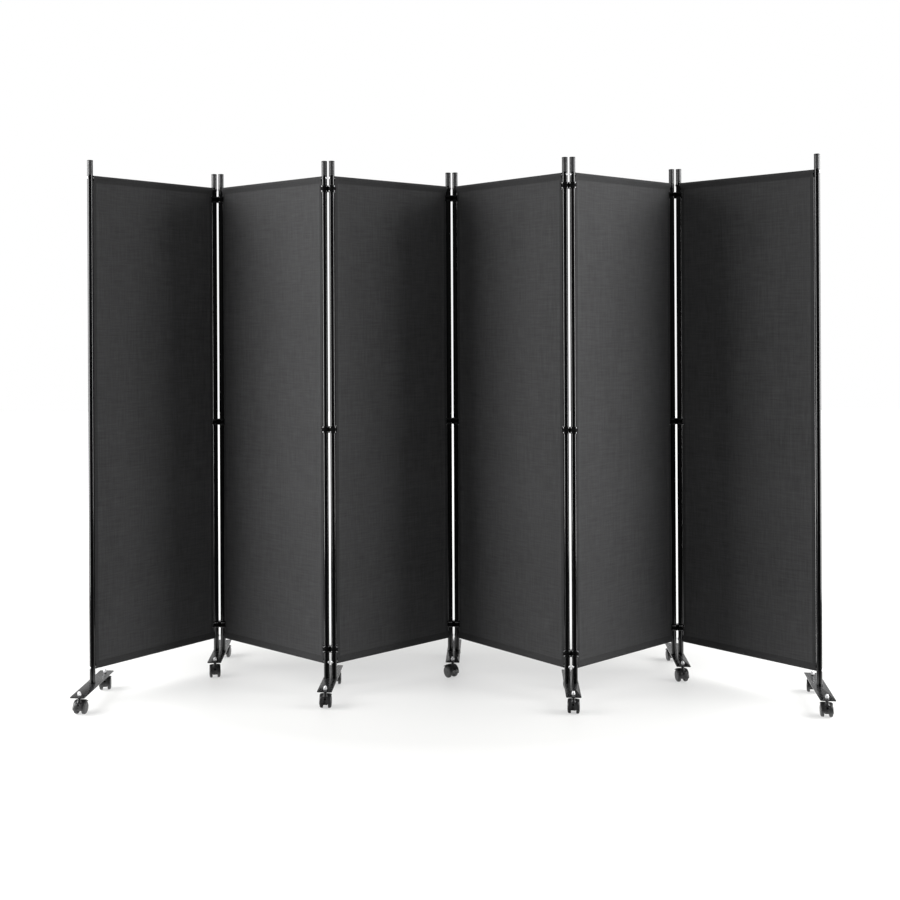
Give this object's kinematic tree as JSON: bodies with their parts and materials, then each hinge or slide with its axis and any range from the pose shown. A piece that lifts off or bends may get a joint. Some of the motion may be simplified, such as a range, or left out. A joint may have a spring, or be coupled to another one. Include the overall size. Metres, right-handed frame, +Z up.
{
  "type": "room divider",
  "caption": "Folding fabric screen: panels in round tube frames, joined side by side with clips, on foot plates that roll on twin-wheel casters.",
  "frame": {"origin": "on the floor, under the middle of the bounding box", "axes": "+X along the divider to its right end as seen from the front, +Y from front to back, +Z up"},
  "size_m": [2.373, 0.6908, 1.73],
  "materials": {
    "post_enamel": "gloss black enamel",
    "screen_fabric": "plain woven charcoal polyester",
    "zinc": "bright zinc plate",
    "plate_enamel": "satin black enamel, lightly textured",
    "clip_plastic": "moulded black plastic",
    "caster_plastic": "moulded black nylon",
    "wheel_plastic": "moulded black nylon"
  },
  "bodies": {
    "panel_1": {"panel_1_frame": "post_enamel", "panel_1_bolts": "zinc", "panel_1_fabric": "screen_fabric"},
    "panel_2": {"panel_2_frame": "post_enamel", "panel_2_bolts": "zinc", "panel_2_fabric": "screen_fabric"},
    "panel_3": {"panel_3_frame": "post_enamel", "panel_3_bolts": "zinc", "panel_3_fabric": "screen_fabric"},
    "panel_4": {"panel_4_frame": "post_enamel", "panel_4_bolts": "zinc", "panel_4_fabric": "screen_fabric"},
    "panel_5": {"panel_5_frame": "post_enamel", "panel_5_bolts": "zinc", "panel_5_fabric": "screen_fabric"},
    "panel_6": {"panel_6_frame": "post_enamel", "panel_6_bolts": "zinc", "panel_6_fabric": "screen_fabric"},
    "foot_1": {"foot_1_plate": "plate_enamel"},
    "foot_2": {"foot_2_plate": "plate_enamel", "hinge_1_clips": "clip_plastic"},
    "foot_3": {"foot_3_plate": "plate_enamel", "hinge_2_clips": "clip_plastic"},
    "foot_4": {"foot_4_plate": "plate_enamel", "hinge_3_clips": "clip_plastic"},
    "foot_5": {"foot_5_plate": "plate_enamel", "hinge_4_clips": "clip_plastic"},
    "foot_6": {"foot_6_plate": "plate_enamel", "hinge_5_clips": "clip_plastic"},
    "foot_7": {"foot_7_plate": "plate_enamel"},
    "caster_1_front": {"caster_1_front_body": "caster_plastic"},
    "wheels_1_front": {"caster_1_front_wheels": "wheel_plastic"},
    "caster_1_rear": {"caster_1_rear_body": "caster_plastic"},
    "wheels_1_rear": {"caster_1_rear_wheels": "wheel_plastic"},
    "caster_2_front": {"caster_2_front_body": "caster_plastic"},
    "wheels_2_front": {"caster_2_front_wheels": "wheel_plastic"},
    "caster_2_rear": {"caster_2_rear_body": "caster_plastic"},
    "wheels_2_rear": {"caster_2_rear_wheels": "wheel_plastic"},
    "caster_3_front": {"caster_3_front_body": "caster_plastic"},
    "wheels_3_front": {"caster_3_front_wheels": "wheel_plastic"},
    "caster_3_rear": {"caster_3_rear_body": "caster_plastic"},
    "wheels_3_rear": {"caster_3_rear_wheels": "wheel_plastic"},
    "caster_4_front": {"caster_4_front_body": "caster_plastic"},
    "wheels_4_front": {"caster_4_front_wheels": "wheel_plastic"},
    "caster_4_rear": {"caster_4_rear_body": "caster_plastic"},
    "wheels_4_rear": {"caster_4_rear_wheels": "wheel_plastic"},
    "caster_5_front": {"caster_5_front_body": "caster_plastic"},
    "wheels_5_front": {"caster_5_front_wheels": "wheel_plastic"},
    "caster_5_rear": {"caster_5_rear_body": "caster_plastic"},
    "wheels_5_rear": {"caster_5_rear_wheels": "wheel_plastic"},
    "caster_6_front": {"caster_6_front_body": "caster_plastic"},
    "wheels_6_front": {"caster_6_front_wheels": "wheel_plastic"},
    "caster_6_rear": {"caster_6_rear_body": "caster_plastic"},
    "wheels_6_rear": {"caster_6_rear_wheels": "wheel_plastic"},
    "caster_7_front": {"caster_7_front_body": "caster_plastic"},
    "wheels_7_front": {"caster_7_front_wheels": "wheel_plastic"},
    "caster_7_rear": {"caster_7_rear_body": "caster_plastic"},
    "wheels_7_rear": {"caster_7_rear_wheels": "wheel_plastic"}
  },
  "joints": [
    {"name": "fold_3_right", "type": "hinge", "parent": "foot_4", "child": "panel_3", "pos_m": [-0.00777, 0.19177, 0.06], "axis": [0, 0, 1], "range_deg": [-128.4, 41.6]},
    {"name": "fold_3_left", "type": "hinge", "parent": "panel_3", "child": "foot_3", "pos_m": [-0.38854, -0.13229, 0.06], "axis": [0, 0, -1], "range_deg": [-128.4, 41.6]},
    {"name": "fold_2_right", "type": "hinge", "parent": "foot_3", "child": "panel_2", "pos_m": [-0.41251, -0.13103, 0.06], "axis": [0, 0, -1], "range_deg": [-120.5, 49.5]},
    {"name": "fold_2_left", "type": "hinge", "parent": "panel_2", "child": "foot_2", "pos_m": [-0.80381, 0.18023, 0.06], "axis": [0, 0, 1], "range_deg": [-126, 44]},
    {"name": "fold_1_right", "type": "hinge", "parent": "foot_2", "child": "panel_1", "pos_m": [-0.82779, 0.17918, 0.06], "axis": [0, 0, 1], "range_deg": [-131.5, 38.5]},
    {"name": "fold_1_left", "type": "hinge", "parent": "panel_1", "child": "foot_1", "pos_m": [-1.15582, -0.19817, 0.06], "axis": [0, 0, -1], "range_deg": [-137, 33]},
    {"name": "fold_4_left", "type": "hinge", "parent": "foot_4", "child": "panel_4", "pos_m": [0.0162, 0.19052, 0.06], "axis": [0, 0, -1], "range_deg": [-129, 41]},
    {"name": "fold_4_right", "type": "hinge", "parent": "panel_4", "child": "foot_5", "pos_m": [0.35719, -0.17516, 0.06], "axis": [0, 0, 1], "range_deg": [-128.5, 41.5]},
    {"name": "fold_5_left", "type": "hinge", "parent": "foot_5", "child": "panel_5", "pos_m": [0.38115, -0.17662, 0.06], "axis": [0, 0, 1], "range_deg": [-129.1, 40.9]},
    {"name": "fold_5_right", "type": "hinge", "parent": "panel_5", "child": "foot_6", "pos_m": [0.76079, 0.14876, 0.06], "axis": [0, 0, -1], "range_deg": [-129.1, 40.9]},
    {"name": "fold_6_left", "type": "hinge", "parent": "foot_6", "child": "panel_6", "pos_m": [0.78474, 0.1473, 0.06], "axis": [0, 0, -1], "range_deg": [-125.7, 44.3]},
    {"name": "fold_6_right", "type": "hinge", "parent": "panel_6", "child": "foot_7", "pos_m": [1.1432, -0.20128, 0.06], "axis": [0, 0, 1], "range_deg": [-121.2, 48.8]},
    {"name": "swivel_1_front", "type": "hinge", "parent": "foot_1", "child": "caster_1_front", "pos_m": [-1.16213, -0.31851, 0.045], "axis": [0, 0, 1], "continuous": true},
    {"name": "roll_1_front", "type": "hinge", "parent": "caster_1_front", "child": "wheels_1_front", "pos_m": [-1.16078, -0.30759, 0.02], "axis": [0.9925, -0.1219, 0], "continuous": true},
    {"name": "swivel_1_rear", "type": "hinge", "parent": "foot_1", "child": "caster_1_rear", "pos_m": [-1.14951, -0.07784, 0.045], "axis": [0, 0, 1], "continuous": true},
    {"name": "roll_1_rear", "type": "hinge", "parent": "caster_1_rear", "child": "wheels_1_rear", "pos_m": [-1.15123, -0.06697, 0.02], "axis": [0.9877, 0.1564, 0], "continuous": true},
    {"name": "swivel_2_front", "type": "hinge", "parent": "foot_2", "child": "caster_2_front", "pos_m": [-0.81054, 0.05932, 0.045], "axis": [0, 0, 1], "continuous": true},
    {"name": "roll_2_front", "type": "hinge", "parent": "caster_2_front", "child": "wheels_2_front", "pos_m": [-0.81293, 0.07006, 0.02], "axis": [0.9763, 0.2164, 0], "continuous": true},
    {"name": "swivel_2_rear", "type": "hinge", "parent": "foot_2", "child": "caster_2_rear", "pos_m": [-0.82106, 0.30009, 0.045], "axis": [0, 0, 1], "continuous": true},
    {"name": "roll_2_rear", "type": "hinge", "parent": "caster_2_rear", "child": "wheels_2_rear", "pos_m": [-0.82, 0.31104, 0.02], "axis": [0.9954, -0.0958, 0], "continuous": true},
    {"name": "swivel_3_front", "type": "hinge", "parent": "foot_3", "child": "caster_3_front", "pos_m": [-0.40683, -0.25199, 0.045], "axis": [0, 0, 1], "continuous": true},
    {"name": "roll_3_front", "type": "hinge", "parent": "caster_3_front", "child": "wheels_3_front", "pos_m": [-0.40664, -0.24099, 0.02], "axis": [0.9998, -0.0175, 0], "continuous": true},
    {"name": "swivel_3_rear", "type": "hinge", "parent": "foot_3", "child": "caster_3_rear", "pos_m": [-0.39422, -0.01132, 0.045], "axis": [0, 0, 1], "continuous": true},
    {"name": "roll_3_rear", "type": "hinge", "parent": "caster_3_rear", "child": "wheels_3_rear", "pos_m": [-0.3946, -0.00033, 0.02], "axis": [0.9994, 0.0349, 0], "continuous": true},
    {"name": "swivel_4_front", "type": "hinge", "parent": "foot_4", "child": "caster_4_front", "pos_m": [-0.00209, 0.07081, 0.045], "axis": [0, 0, 1], "continuous": true},
    {"name": "roll_4_front", "type": "hinge", "parent": "caster_4_front", "child": "wheels_4_front", "pos_m": [-0.0084, 0.07982, 0.02], "axis": [0.8192, 0.5736, 0], "continuous": true},
    {"name": "swivel_4_rear", "type": "hinge", "parent": "foot_4", "child": "caster_4_rear", "pos_m": [0.01052, 0.31148, 0.045], "axis": [0, 0, 1], "continuous": true},
    {"name": "roll_4_rear", "type": "hinge", "parent": "caster_4_rear", "child": "wheels_4_rear", "pos_m": [0.0073, 0.322, 0.02], "axis": [0.9563, 0.2924, 0], "continuous": true},
    {"name": "swivel_5_front", "type": "hinge", "parent": "foot_5", "child": "caster_5_front", "pos_m": [0.36182, -0.29617, 0.045], "axis": [0, 0, 1], "continuous": true},
    {"name": "roll_5_front", "type": "hinge", "parent": "caster_5_front", "child": "wheels_5_front", "pos_m": [0.36363, -0.28532, 0.02], "axis": [0.9863, -0.165, 0], "continuous": true},
    {"name": "swivel_5_rear", "type": "hinge", "parent": "foot_5", "child": "caster_5_rear", "pos_m": [0.37653, -0.05562, 0.045], "axis": [0, 0, 1], "continuous": true},
    {"name": "roll_5_rear", "type": "hinge", "parent": "caster_5_rear", "child": "wheels_5_rear", "pos_m": [0.3791, -0.04492, 0.02], "axis": [0.9724, -0.2334, 0], "continuous": true},
    {"name": "swivel_6_front", "type": "hinge", "parent": "foot_6", "child": "caster_6_front", "pos_m": [0.76541, 0.02776, 0.045], "axis": [0, 0, 1], "continuous": true},
    {"name": "roll_6_front", "type": "hinge", "parent": "caster_6_front", "child": "wheels_6_front", "pos_m": [0.7634, 0.03857, 0.02], "axis": [0.9833, 0.1822, 0], "continuous": true},
    {"name": "swivel_6_rear", "type": "hinge", "parent": "foot_6", "child": "caster_6_rear", "pos_m": [0.78012, 0.26831, 0.045], "axis": [0, 0, 1], "continuous": true},
    {"name": "roll_6_rear", "type": "hinge", "parent": "caster_6_rear", "child": "wheels_6_rear", "pos_m": [0.77964, 0.2793, 0.02], "axis": [0.999, 0.0436, 0], "continuous": true},
    {"name": "swivel_7_front", "type": "hinge", "parent": "foot_7", "child": "caster_7_front", "pos_m": [1.12643, -0.32061, 0.045], "axis": [0, 0, 1], "continuous": true},
    {"name": "roll_7_front", "type": "hinge", "parent": "caster_7_front", "child": "wheels_7_front", "pos_m": [1.12834, -0.30978, 0.02], "axis": [0.9848, -0.1736, 0], "continuous": true},
    {"name": "swivel_7_rear", "type": "hinge", "parent": "foot_7", "child": "caster_7_rear", "pos_m": [1.15997, -0.08196, 0.045], "axis": [0, 0, 1], "continuous": true},
    {"name": "roll_7_rear", "type": "hinge", "parent": "caster_7_rear", "child": "wheels_7_rear", "pos_m": [1.16373, -0.07162, 0.02], "axis": [0.9397, -0.342, 0], "continuous": true}
  ]
}
